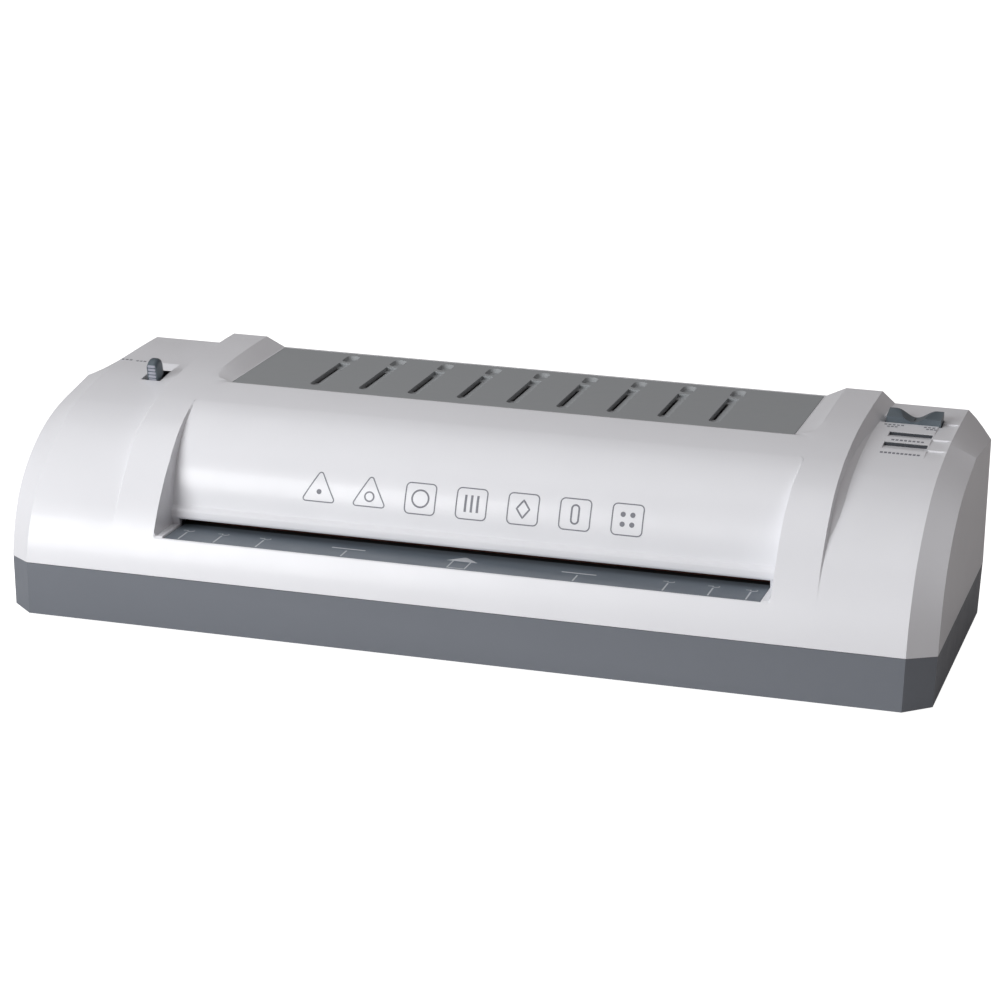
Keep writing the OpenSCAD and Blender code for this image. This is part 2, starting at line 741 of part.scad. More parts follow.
module power_window() {
    color([0.2, 0.22, 0.24]) window(windows[1]);
}

lamp_board_z = 98.6;
module indicator_board() {
    color([0.2, 0.45, 0.3]) block([194, 8, lamp_board_z], [224, 48, lamp_board_z + 1.6]);
}

module indicator_lamps() {
    for (y = [16, 33]) {
        color(y < 25 ? [0.8, 0.2, 0.15] : [0.2, 0.7, 0.3]) translate([208, y, lamp_board_z + 1.62]) {
            cylinder(r = 1.2, h = 1.3, $fn = 32);
            translate([0, 0, 1.3]) sphere(r = 1.2, $fn = 32);
        }
    }
}

module control_board() {
    color([0.2, 0.45, 0.3]) block([199, -66, 12], [231, 0, 13.6]);
    color([0.15, 0.15, 0.16]) {
        block([203, -60, 13.6], [219, -44, 28]);
        block([221, -56, 13.6], [230, -38, 24]);
        block([203, -36, 13.6], [222, -26, 23]);
        for (y = [-20, -8]) translate([210, y, 13.6]) cylinder(r = 4, h = 12, $fn = 32);
    }
    color([0.8, 0.8, 0.8]) for (x = [202, 228], y = [-63, -3]) {
        translate([x, y, foot_h + wall + 0.02]) cylinder(r = 2, h = 6.5, $fn = 24);
    }
}

module power_inlet() {
    color([0.1, 0.1, 0.11]) difference() {
        union() {
            block([inlet_x - 15.2, rear_y - 4, 6.3], [inlet_x + 15.2, rear_y - 0.6, 28.7]);
            block([inlet_x - 13, rear_y - 24, 8], [inlet_x + 13, rear_y - 4, 27]);
        }
        block([inlet_x - 11, rear_y - 18, 10], [inlet_x + 11, rear_y + 1, 25]);
    }
    color(steel_color) for (p = [[0, 20], [-6.5, 15], [6.5, 15]]) {
        block([inlet_x + p[0] - 1, rear_y - 30, p[1] - 1.5], [inlet_x + p[0] + 1, rear_y - 6, p[1] + 1.5]);
    }
}

// Insulated wire through the given points
module wire(points, r) {
    for (i = [0:len(points) - 2]) hull() {
        translate(points[i]) sphere(r = r, $fn = 10);
        translate(points[i + 1]) sphere(r = r, $fn = 10);
    }
}

module wiring() {
    color([0.6, 0.15, 0.12]) wire([[209, -20, 30], [209, 4, 34], [216, 12, 44], [226, 30, 60], [222, 50, 76], [rocker_x, rocker_y, 77.8]], 1.1);
    color([0.15, 0.25, 0.6]) wire([[222, -12, 30], [230, 6, 36], [230, 24, 70], [226, 34, 97]], 1.1);
    color([0.85, 0.8, 0.3]) wire([[205, 60, 20], [214, 50, 22], [228, 20, 22], [228, 4, 26]], 1.1);
}

base_tray();
top_cover();
vent_panel();
feed_tray();
exit_guide();
rubber_feet();
housing_screws();
rating_plate();
left_side_frame();
right_side_frame();
tie_bars();
frame_screws();
lower_bushes();
lower_front_shaft();
lower_front_sleeve();
lower_front_gear();
lower_rear_shaft();
lower_rear_sleeve();
lower_rear_gear();
upper_front_shaft();
upper_front_sleeve();
upper_front_gear();
upper_rear_shaft();
upper_rear_sleeve();
upper_rear_gear();
idler_gear();
idler_stud();
motor_pinion();
drive_motor();
motor_bracket();
motor_standoffs();
motor_screws();
lift_plates();
upper_bushes();
pressure_springs();
release_shaft();
release_cams();
release_lever();
lower_heater_plate();
upper_heater_plate();
lower_element();
upper_element();
thermostat();
thermal_fuse();
heat_shield();
mode_rocker();
rocker_pin();
rocker_housing();
ready_window();
power_window();
indicator_board();
indicator_lamps();
control_board();
power_inlet();
wiring();
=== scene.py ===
"""Looks of the pouch laminator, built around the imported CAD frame.

Sizes are in millimetres until a mesh is made. The cover is one closed shell on a grid: rows follow each other
from the front edge over the top to the rear, columns from left to right. Each row knows the profile of the ends,
of the ridges and of the centre, and a column picks between them.
"""

import bisect
import json
import math

import bmesh
import bpy
from mathutils import Matrix, Vector


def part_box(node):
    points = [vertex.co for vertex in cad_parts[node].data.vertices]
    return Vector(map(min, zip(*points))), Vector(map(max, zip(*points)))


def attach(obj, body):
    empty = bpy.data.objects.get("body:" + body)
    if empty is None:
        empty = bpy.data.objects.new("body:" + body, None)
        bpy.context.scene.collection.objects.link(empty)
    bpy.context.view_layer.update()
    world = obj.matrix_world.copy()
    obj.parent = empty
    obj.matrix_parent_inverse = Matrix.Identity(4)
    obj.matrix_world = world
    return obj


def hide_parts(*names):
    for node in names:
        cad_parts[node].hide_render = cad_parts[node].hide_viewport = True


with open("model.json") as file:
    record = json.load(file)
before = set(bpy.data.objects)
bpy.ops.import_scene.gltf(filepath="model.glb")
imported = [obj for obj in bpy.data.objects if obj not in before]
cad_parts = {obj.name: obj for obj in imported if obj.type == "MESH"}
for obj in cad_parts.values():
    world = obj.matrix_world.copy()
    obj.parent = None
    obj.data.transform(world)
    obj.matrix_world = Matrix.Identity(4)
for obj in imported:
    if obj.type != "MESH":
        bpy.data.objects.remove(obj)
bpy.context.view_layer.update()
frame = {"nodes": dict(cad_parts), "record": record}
nodes = frame["nodes"]
MM = 0.001


def node_box(name):
    """Lowest and highest corner of a CAD node, in millimetres."""
    low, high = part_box(name)
    return [v / MM for v in low], [v / MM for v in high]


# ---------- sizes of the shell: outer ones from the frame, then those of its own features ----------

cover_low, cover_high = node_box("top_cover")
tray_low, tray_high = node_box("feed_tray")
vent_low, vent_high = node_box("vent_panel")
HALF_W = cover_high[0]
HALF_D = cover_high[1]
PART_Z = cover_low[2]
TRAY_HALF = tray_high[0]
TRAY_Z = tray_high[2]
VENT_Z = vent_high[2]
WALL = 2.5
END_CHAMFER = 13.8
REAR_CHAMFER = 7.9
CREASE_X = HALF_W - END_CHAMFER
RIDGE_OUT = 185.5
RIDGE_FOOT = 193.3
RIDGE_RISE = 6.0
RECESS_HALF = 162.0
SLOT_HALF = 157.0
LIP_Z = 54.4
REAR_SLOT_Z = 64.0


# ---------- profiles of the cover ----------

def arc(y, z, start, end, radius, steps):
    """Points (y, z, heading) along an arc, headings in degrees."""
    a0 = math.radians(start)
    points = []
    for i in range(steps + 1):
        a = math.radians(start + (end - start) * i / steps)
        ahead = radius * (math.sin(a0) - math.sin(a))
        rise = radius * (math.cos(a) - math.cos(a0))
        points.append((y + ahead, z + rise, a))
    return points


def smooth(t):
    """Eased step from 0 to 1."""
    t = min(1.0, max(0.0, t))
    return t * t * (3 - 2 * t)


def shifted(point, d):
    """The point moved by d along the surface's outward normal."""
    y, z, a = point
    return (y - d * math.sin(a), z + d * math.cos(a), a)


def blend(p, q, t):
    """Point between p and q at fraction t."""
    return tuple(p[k] + (q[k] - p[k]) * t for k in range(len(p)))


def at(points, axis, value):
    """Point of a polyline where its y (axis 0) or z (axis 1) reaches a value."""
    keys = [p[axis] for p in points]
    i = min(max(bisect.bisect_left(keys, value), 1), len(points) - 1)
    p, q = points[i - 1], points[i]
    return blend(p, q, (value - p[axis]) / (q[axis] - p[axis]))


# side view of the ends: four arcs from the front edge to the rear, each flatter than the last
end_path = arc(-HALF_D, PART_Z, 84, 40, 72, 60)
for start, stop, radius in ((40, 13, 120), (13, 3, 300), (3, 0, 1100)):
    end_path += arc(end_path[-1][0], end_path[-1][1], start, stop, radius, 40)[1:]


def ridge_of(point):
    """Top of the ridge beside a point of the end path; the ridge swells out of the front."""
    return shifted(point, RIDGE_RISE * smooth((point[0] + 88) / 46))


def edge_of(point):
    """Outer edge of the end chamfer, beside a point of the end path."""
    return shifted(point, -END_CHAMFER + 7 * smooth((point[1] - PART_Z) / 68))


ridge_path = [ridge_of(p) for p in end_path]
# the chamfer's outer edge follows the front's curve, then two straight facets to the rear
edge_path = [edge_of(p) for p in end_path if p[0] < -12]
edge_path += [(24.1, 104.1, math.radians(8)), (HALF_D, 98.4, math.radians(-4.8))]

# sunken front of the centre: a steep start, then two arcs up to where it meets the ridge surface
PANEL_LIP = (-62.5, 59.5)
PANEL_RISE = 8
steep = math.radians(83)
panel_foot = (PANEL_LIP[0] + PANEL_RISE * math.cos(steep), PANEL_LIP[1] + PANEL_RISE * math.sin(steep))
panel_path = arc(panel_foot[0], panel_foot[1], 83, 40, 44, 80)
panel_path += arc(panel_path[-1][0], panel_path[-1][1], 40, 18.6, 67, 60)[1:]
panel_path = [p for p in panel_path if p[1] <= at(ridge_path, 0, p[0])[1]]
meet = panel_path[-1]

# ---------- rows of the cover's surface, from the front edge over the top to the rear edge ----------

# one dict per row, each value a point (y, z, heading):
# a on the end surface, b on the ridge, c in the centre, s at the outer edge of the end chamfer
rows = []
for z in (PART_Z, 34, 37.5, 41, 44.5, 47.6, TRAY_Z - 0.45):
    p = at(end_path, 1, z)
    rows.append(dict(a=p, b=p, c=p, s=edge_of(p)))
RIM_ROW = len(rows)

flat = 0.0
centre = [(-87.75, TRAY_Z, flat), (-87.1, TRAY_Z, flat), (-80, TRAY_Z, flat), (-71, TRAY_Z, flat),
          (-62.6, TRAY_Z, flat)]
SLOT_START = RIM_ROW + 1
SLOT_END = RIM_ROW + len(centre)
upright = math.pi / 2
for y, z in ((-63.6, LIP_Z), (-64.6, 54.8), (-65.15, 55.7), (-65.3, 57.4), (-65.1, 59.0), (-64.5, 60.0),
             (-63.5, 60.6), (-62.4, 61.4), (-62.0, 63.6)):
    centre.append((y, z, upright if z < 60 else steep))
centre.append((panel_foot[0], panel_foot[1], steep))
ARC_ROWS = 14
for i in range(1, ARC_ROWS + 1):
    centre.append(panel_path[round((len(panel_path) - 1) * i / ARC_ROWS)])

# rows where the end chamfer changes from one facet to the next, the depth where the rear corner begins, and the
# depth of the chamfer's outer edge beside each depth of the end surface
FACET_ROWS = (-16, 24)
REAR_TURN = 84
EDGE_Y = ((-60, edge_of(at(end_path, 0, -60))[0]), (-16, -23.1), (24, 24.1), (REAR_TURN, 82.6), (HALF_D, 84.9))


def edge_y(y):
    """Depth of the chamfer's outer edge beside depth y of the end surface."""
    return at(EDGE_Y, 0, y)[1]


# the rows of the recess, each paired with an even step along the end path
first = next(i for i, p in enumerate(end_path) if p[1] > TRAY_Z + 0.1)
last = next(i for i, p in enumerate(ridge_path) if p[0] >= meet[0])
for i, c in enumerate(centre):
    k = first + (last - first) * i / (len(centre) - 1)
    lo = int(k)
    p = blend(end_path[lo], end_path[min(lo + 1, last)], k - lo)
    edge = edge_of(p) if p[0] < EDGE_Y[0][0] else at(edge_path, 0, edge_y(p[0]))
    rows.append(dict(a=p, b=ridge_of(p), c=c, s=edge))

VENT_FALL = 0.7


def vent_top(y):
    """Height of the vent panel, which falls a little towards the front."""
    return VENT_Z - VENT_FALL * (90 - y) / 85


# RISE is the run of each small step in the right end; SEAT_FRONT is the front edge of the vent panel's seat
RISE = 0.35
SEAT_FRONT = 4.8
# depths of the rows behind the recess, with one on every edge of an opening, ramp or step
ROWS_Y = (-22, -16, -11, -4, 1, SEAT_FRONT, 6.4, 8.6, 10, 12, 12 + RISE, 17.6, 19.2, 24, 27.5, 28.4,
          28.4 + RISE, 31.5, 34.6, 36.2, 38, 44, 51.9, 58, 58 + RISE, 63.7, 71, 78, 84, 90, 91.7)
for y in ROWS_Y:
    a, b = at(end_path, 0, y), at(ridge_path, 0, y)
    c = (y, vent_top(y), flat) if y >= SEAT_FRONT else b
    rows.append(dict(a=a, b=b, c=c, s=at(edge_path, 0, edge_y(y)), fixed=y))
# the rounded rear edge
top_row = rows[-1]
for y, drop in ((92.45, 0.25), (HALF_D, 0.95)):
    row = {k: (y, top_row[k][1] - drop, flat) for k in "abc"}
    row["s"] = (edge_y(y), top_row["s"][1] - drop, flat)
    rows.append(dict(row, fixed=y))
REAR_ROW = len(rows)
for z in (90, 75, REAR_SLOT_Z, PART_Z):
    rows.append(dict(rear=z))


def rear_limit(x):
    """Depth of the rear wall at x: flat, then the chamfered rear corner."""
    return HALF_D - max(0.0, abs(x) - (HALF_W - REAR_CHAMFER))


# flank between the vent panel and the ridges, and the x of its upper edge at each depth
SEAT_IN, SEAT_OUT = 154.3, 165.2
SEAT_EDGE = ((SEAT_FRONT, 158.0), (6.4, 161.0), (8.6, 162.8), (10, 163.5), (12, 164.2), (15, 164.8),
             (HALF_D, 164.8))
# outer flank of the ridges: its crest, and the x of its foot at each depth
CREST_X = 184.4
FOOT_X = ((-HALF_D, 184.9), (-56, 185.6), (-27, 186.7), (-7, 187.6), (21, 188.6), (58, 190), (HALF_D, 191.4))


def slid(row, x):
    """The column's own x at a row, which follows the ridge's flank, the recess and the vent panel's seat."""
    a = abs(x)
    if a == RIDGE_OUT:
        a = CREST_X
    if RIDGE_OUT < a <= RIDGE_FOOT:
        foot = at(FOOT_X, 0, row["a"][0])[1]
        a = CREST_X + (a - RIDGE_OUT) * (foot - CREST_X) / (RIDGE_FOOT - RIDGE_OUT)
    y = row["fixed"] if "fixed" in row else row["c"][0]
    if y >= SEAT_FRONT and SEAT_IN < a <= SEAT_OUT:
        a = SEAT_IN + (a - SEAT_IN) * (at(SEAT_EDGE, 0, y)[1] - SEAT_IN) / (SEAT_OUT - SEAT_IN)
    if "fixed" not in row and y > -60 and RECESS_HALF - 1 <= a <= RECESS_HALF:
        a += 2.0 * (y + 60) / (meet[0] + 60)
    return math.copysign(a, x)


# depth that stands for the rows of the front, which have none fixed
AHEAD = -99


def section(row, x):
    """Point (y, z, heading) of a row's surface at x."""
    x = abs(x)
    seat = row.get("fixed", AHEAD) >= SEAT_FRONT
    flank_in, flank_out = (SEAT_IN, SEAT_OUT) if seat else (RECESS_HALF - 1, RECESS_HALF)
    if x <= flank_in:
        return row["c"]
    if x < flank_out:
        return blend(row["c"], row["b"], (x - flank_in) / (flank_out - flank_in))
    if x <= RIDGE_OUT:
        return row["b"]
    if x < RIDGE_FOOT:
        return blend(row["b"], row["a"], (x - RIDGE_OUT) / (RIDGE_FOOT - RIDGE_OUT))
    if x <= CREASE_X:
        return row["a"]
    return blend(row["a"], row["s"], (x - CREASE_X) / END_CHAMFER)


# right end: ramps down to the windows (x, x, y, y), and shallow steps beside them (front y, rear y)
RAMPS = ((197.7, 220.2, 27.5, 36.2), (197.7, 220.2, 10, 19.2))
RAMP_DEPTH = 1.8
STEPS = ((1, 12), (12 + RISE, 28.4), (28.4 + RISE, 58))
STEP_HEIGHT = 0.7
STEP_X = (220.6, 228.0, CREASE_X)


def relief(x, y, z):
    """Height of the surface with the ramps and the shallow steps of the right end."""
    for x0, x1, y0, y1 in RAMPS:
        if x0 < x < x1 and y0 < y < y1:
            front, rear = at(end_path, 0, y0)[1], at(end_path, 0, y1)[1]
            return front + (rear - RAMP_DEPTH - front) * (y - y0) / (y1 - y0)
    if x > STEP_X[0]:
        fade = 1 - smooth((x - STEP_X[1]) / (STEP_X[2] - STEP_X[1]))
        for y0, y1 in STEPS:
            if y0 < y <= y1:
                return z - STEP_HEIGHT * fade * (y - y0) / (y1 - y0)
    return z


def outer_point(j, x):
    """Point of the outer surface at row j and column x."""
    row = rows[j]
    if "rear" in row:
        return (x, rear_limit(x), row["rear"])
    y, z, _ = section(row, x)
    if "fixed" in row and row["fixed"] > REAR_TURN and abs(x) > CREASE_X:
        y = REAR_TURN + (row["fixed"] - REAR_TURN) * (rear_limit(x) - REAR_TURN) / (HALF_D - REAR_TURN)
    if "fixed" in row:
        z = relief(x, row["fixed"], z)
    elif RIM_ROW < j < SLOT_END and SLOT_HALF + 0.2 < abs(x) < RECESS_HALF - 0.5:
        z += 0.8
    return (slid(row, x), y, z)


def inner_x(x):
    """Columns of the inner surface stand further out at the recess and further in at the ends."""
    knots = ((0, 0), (SLOT_HALF, SLOT_HALF), (161, 163.5), (166, 168.5), (176, 176),
             (RIDGE_OUT, RIDGE_OUT - 0.6), (RIDGE_FOOT, RIDGE_FOOT - 1.2), (CREASE_X, CREASE_X - 1),
             (HALF_W, HALF_W - WALL))
    return math.copysign(at(knots, 0, abs(x))[1], x)


# openings (x, x, y, y) at the outer surface; the lever slot is funnel-shaped, with its own size inside
LEVER_SLOT = (-207.2, -196.2, 8.6, 38)
LEVER_INNER = (-206.5, -196.4, 8.6, 31.5)
ROCKER_SLOT = (192.4, 222.2, 51.9, 63.7)


def inner_point(j, x):
    """Point of the inner surface at row j and column x, one wall below the outer one."""
    row = rows[j]
    wall_y = rear_limit(x) - WALL
    if "rear" in row:
        return (inner_x(x), wall_y, row["rear"])
    y, z, a = section(row, x)
    if j == 0:
        return (inner_x(x), y + WALL, z)
    if RIM_ROW <= j < SLOT_END and abs(x) < RECESS_HALF:
        # beside the tray: the inner surface runs level under the rim
        y = {0: -86.9, 1: -86.3}.get(j - RIM_ROW, y + 2.4 * (j == SLOT_END - 1))
        return (inner_x(x), y, TRAY_Z - WALL - 0.6 * (j == RIM_ROW))
    if SLOT_END <= j <= SLOT_END + 8 and abs(x) < RECESS_HALF:
        # behind the rolled lip: a plain, nearly upright wall
        return (inner_x(x), -60.4 + 0.03 * (j - SLOT_END), LIP_Z + 0.2 + 0.95 * (j - SLOT_END))
    y, z, a = shifted((y, z, a), -WALL)
    if j >= REAR_ROW - 3:
        y = wall_y - 0.1 * (REAR_ROW - j)
    x0, x1, y0, y1 = LEVER_SLOT
    if x0 - 1 < x < x1 + 0.1 and y0 <= row.get("fixed", AHEAD) <= y1:
        u, v = (x - x0) / (x1 - x0), (row["fixed"] - y0) / (y1 - y0)
        x0, x1, y0, y1 = LEVER_INNER
        return (x0 + u * (x1 - x0), y0 + v * (y1 - y0), z)
    return (inner_x(x), y, z)


# columns of the surface: those at both ends, and those that only one end needs for its openings
SHARED = [30, 60, 90, 120, 148, 153.5, SEAT_IN, SLOT_HALF, 157.3, 158.2, 160.2, 161, RECESS_HALF, 163.6,
          SEAT_OUT, 168, 176, RIDGE_OUT, RIDGE_FOOT, CREASE_X, 235, 239, HALF_W]
LEFT = [189, 196.2, 201, 207.2, 209, 212, 218, 224]
RIGHT = [188.5, 192.4, 195, 197.65, 197.75, 204, 211, 220.15, 220.25, 220.6, 221, 222.2, 225, 228, 229.6]
columns = sorted([-x for x in LEFT + SHARED] + [0] + SHARED + RIGHT)


def cell_open(i, j):
    """True where the cover has an opening, for the cell right of column i and behind row j."""
    x = (columns[i] + columns[i + 1]) / 2
    if SLOT_START <= j < SLOT_END or j >= REAR_ROW + 2:
        return abs(x) < SLOT_HALF
    if j >= REAR_ROW - 1 or "fixed" not in rows[j]:
        return False
    y = (rows[j]["fixed"] + rows[j + 1]["fixed"]) / 2
    spots = [(-153.5, 153.5, SEAT_FRONT, 90), LEVER_SLOT, ROCKER_SLOT]
    spots += [(x0, x1, y1 - 1.6, y1) for x0, x1, _, y1 in RAMPS]
    return any(x0 < x < x1 and y0 < y < y1 for x0, x1, y0, y1 in spots)


# ---------- mesh helpers ----------

def add_object(name, mesh, body, material, replaced=()):
    """New piece that rides on a body, with its material and the CAD nodes it stands for."""
    obj = bpy.data.objects.new(name, mesh)
    bpy.context.scene.collection.objects.link(obj)
    mesh.materials.clear()
    mesh.materials.append(material)
    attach(obj, body)
    if replaced:
        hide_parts(*replaced)
    return obj


def mesh_from(name, verts, faces):
    """Mesh in metres from points in millimetres, with its faces turned outwards."""
    mesh = bpy.data.meshes.new(name)
    mesh.from_pydata([Vector(v) * MM for v in verts], [], faces)
    bm = bmesh.new()
    bm.from_mesh(mesh)
    bmesh.ops.recalc_face_normals(bm, faces=bm.faces)
    bm.to_mesh(mesh)
    bm.free()
    return mesh


def soften(obj, width, angle, limit="ANGLE"):
    """Small bevel on the edges sharper than an angle, or on those with a weight."""
    soft = obj.modifiers.new("soft edges", "BEVEL")
    soft.width = width * MM
    soft.segments = 2
    soft.limit_method = limit
    soft.angle_limit = math.radians(angle)


def shade(obj, bevel, sharp_deg=30.0, angle=30.0, limit="ANGLE", dissolve=False):
    """Smooth shading with crisp edges and a small bevel; dissolve first merges a CAD mesh's flat areas."""
    obj.data.shade_smooth()
    if dissolve:
        flats = obj.modifiers.new("flats", "DECIMATE")
        flats.decimate_type = "DISSOLVE"
        flats.angle_limit = math.radians(1.0)
    soften(obj, bevel, angle, limit)
    if not dissolve:
        obj.data.set_sharp_from_angle(angle=math.radians(sharp_deg))
    normals = obj.modifiers.new("normals", "WEIGHTED_NORMAL")
    normals.keep_sharp = not dissolve
    normals.weight = 60


def box_parts(low, high):
    """Closed box as points and faces."""
    (x0, y0, z0), (x1, y1, z1) = low, high
    verts = [(x, y, z) for x in (x0, x1) for y in (y0, y1) for z in (z0, z1)]
    faces = [(0, 1, 3, 2), (4, 6, 7, 5), (0, 4, 5, 1), (2, 3, 7, 6), (0, 2, 6, 4), (1, 5, 7, 3)]
    return verts, faces


def prism_parts(outline, place, height):
    """Closed prism: outline points in order, place(u, v, h) gives a point, height is (low, high)."""
    n = len(outline)
    verts = [place(u, v, h) for h in height for u, v in outline]
    faces = [tuple(range(n))[::-1], tuple(range(n, 2 * n))]
    faces += [(i, (i + 1) % n, n + (i + 1) % n, n + i) for i in range(n)]
    return verts, faces


def join_parts(parts):
    """Several (points, faces) pairs as one."""
    verts, faces = [], []
    for v, f in parts:
        base = len(verts)
        verts += v
        faces += [tuple(base + k for k in face) for face in f]
    return verts, faces


def ring(cx, cy, radius, steps=24, a0=0.0, a1=360.0, end=False):
    """Points round a circle or an arc; end adds the arc's last point."""
    count = steps + 1 if end else steps
    return [(cx + radius * math.cos(math.radians(a0 + (a1 - a0) * i / steps)),
             cy + radius * math.sin(math.radians(a0 + (a1 - a0) * i / steps))) for i in range(count)]


def rounded(cx, cy, half_x, half_y, radius, steps=5):
    """Outline of a rectangle with rounded corners."""
    points = []
    for k, (sx, sy) in enumerate(((1, 1), (-1, 1), (-1, -1), (1, -1))):
        mid_x, mid_y = cx + sx * (half_x - radius), cy + sy * (half_y - radius)
        points += ring(mid_x, mid_y, radius, steps, 90 * k, 90 * k + 90, True)
    return points


def dense(points, closed):
    """The same line with points at most a millimetre apart, so that it follows a curved surface."""
    result = []
    count = len(points) if closed else len(points) - 1
    for i in range(count):
        (u0, v0), (u1, v1) = points[i], points[(i + 1) % len(points)]
        parts = max(1, math.ceil(math.hypot(u1 - u0, v1 - v0)))
        result += [(u0 + (u1 - u0) * k / parts, v0 + (v1 - v0) * k / parts) for k in range(parts)]
    return result if closed else result + [points[-1]]


PRINT_LOW, PRINT_HIGH = -0.02, 0.05


def ribbon(points, width, place, closed=False, high=PRINT_HIGH):
    """Thin printed line: a closed strip of a little height along points on a surface."""
    points = dense(points, closed)
    n = len(points)
    left, right = [], []
    for i, (u, v) in enumerate(points):
        before = points[i - 1] if i or closed else points[i]
        after = points[(i + 1) % n] if i < n - 1 or closed else points[i]
        du, dv = after[0] - before[0], after[1] - before[1]
        length = math.hypot(du, dv) or 1.0
        nu, nv = -dv / length * width / 2, du / length * width / 2
        left.append((u + nu, v + nv))
        right.append((u - nu, v - nv))
    verts = [place(u, v, h) for h in (PRINT_LOW, high) for line in (left, right) for u, v in line]
    faces = []
    for i in range(n if closed else n - 1):
        k = (i + 1) % n
        l0, l1, r0, r1 = i, k, n + i, n + k
        faces += [(l0, l1, r1, r0), (2 * n + l0, 2 * n + r0, 2 * n + r1, 2 * n + l1),
                  (l0, 2 * n + l0, 2 * n + l1, l1), (r0, r1, 2 * n + r1, 2 * n + r0)]
    if not closed:
        faces += [(0, n, 3 * n, 2 * n), (n - 1, 3 * n - 1, 4 * n - 1, 2 * n - 1)]
    return verts, faces


# ---------- materials ----------

def node_tree(name):
    """A new material, its node tree and its main shader."""
    mat = bpy.data.materials.new(name)
    mat.use_nodes = True
    tree = mat.node_tree
    return mat, tree, tree.nodes["Principled BSDF"]


def noise(tree, scale, detail, stretch):
    """Noise in object space; scale is in cells per metre."""
    coords = tree.nodes.new("ShaderNodeTexCoord")
    mapping = tree.nodes.new("ShaderNodeMapping")
    mapping.inputs["Scale"].default_value = stretch
    tex = tree.nodes.new("ShaderNodeTexNoise")
    tex.inputs["Scale"].default_value = scale
    tex.inputs["Detail"].default_value = detail
    tree.links.new(coords.outputs["Object"], mapping.inputs["Vector"])
    tree.links.new(mapping.outputs["Vector"], tex.inputs["Vector"])
    return tex.outputs["Fac"]


def spread(tree, value, low, high):
    """Maps a noise value's middle range to low..high."""
    m = tree.nodes.new("ShaderNodeMapRange")
    m.inputs["From Min"].default_value = 0.35
    m.inputs["From Max"].default_value = 0.65
    m.inputs["To Min"].default_value = low
    m.inputs["To Max"].default_value = high
    tree.links.new(value, m.inputs["Value"])
    return m.outputs["Result"]


def surface(name, color, rough, vary, rough_vary, grain, grain_depth, metal=0.0, coat=0.0,
            stretch=(1, 1, 1), edge_highlight=0.0):
    """Procedural surface: broad colour drift, uneven roughness, fine grain (size and depth in millimetres),
    painted highlight on convex edges.
    """
    mat, tree, shader = node_tree(name)
    mix = tree.nodes.new("ShaderNodeMix")
    mix.data_type = "RGBA"
    mix.inputs["A"].default_value = (*[c * (1 - vary) for c in color], 1)
    mix.inputs["B"].default_value = (*[min(1, c * (1 + vary)) for c in color], 1)
    tree.links.new(spread(tree, noise(tree, 28, 4, stretch), 0, 1), mix.inputs["Factor"])
    base = mix.outputs["Result"]
    # painted highlight: convex edges, picked out by pointiness, are made lighter
    if edge_highlight:
        geometry = tree.nodes.new("ShaderNodeNewGeometry")
        highlit_edge = tree.nodes.new("ShaderNodeMix")
        highlit_edge.data_type = "RGBA"
        highlit_edge.inputs["B"].default_value = (*[min(1, c * (1 + edge_highlight) + 0.03) for c in color], 1)
        ramp = tree.nodes.new("ShaderNodeMapRange")
        ramp.inputs["From Min"].default_value = 0.54
        ramp.inputs["From Max"].default_value = 0.62
        tree.links.new(geometry.outputs["Pointiness"], ramp.inputs["Value"])
        tree.links.new(ramp.outputs["Result"], highlit_edge.inputs["Factor"])
        tree.links.new(base, highlit_edge.inputs["A"])
        base = highlit_edge.outputs["Result"]
    tree.links.new(base, shader.inputs["Base Color"])
    fine = noise(tree, 1000 / grain, 2, stretch)
    tree.links.new(spread(tree, noise(tree, 60, 3, stretch), rough - rough_vary, rough + rough_vary),
                   shader.inputs["Roughness"])
    bump = tree.nodes.new("ShaderNodeBump")
    bump.inputs["Strength"].default_value = 0.5
    bump.inputs["Distance"].default_value = grain_depth * MM
    tree.links.new(fine, bump.inputs["Height"])
    tree.links.new(bump.outputs["Normal"], shader.inputs["Normal"])
    shader.inputs["Metallic"].default_value = metal
    shader.inputs["Coat Weight"].default_value = coat
    shader.inputs["Coat Roughness"].default_value = 0.12
    return mat
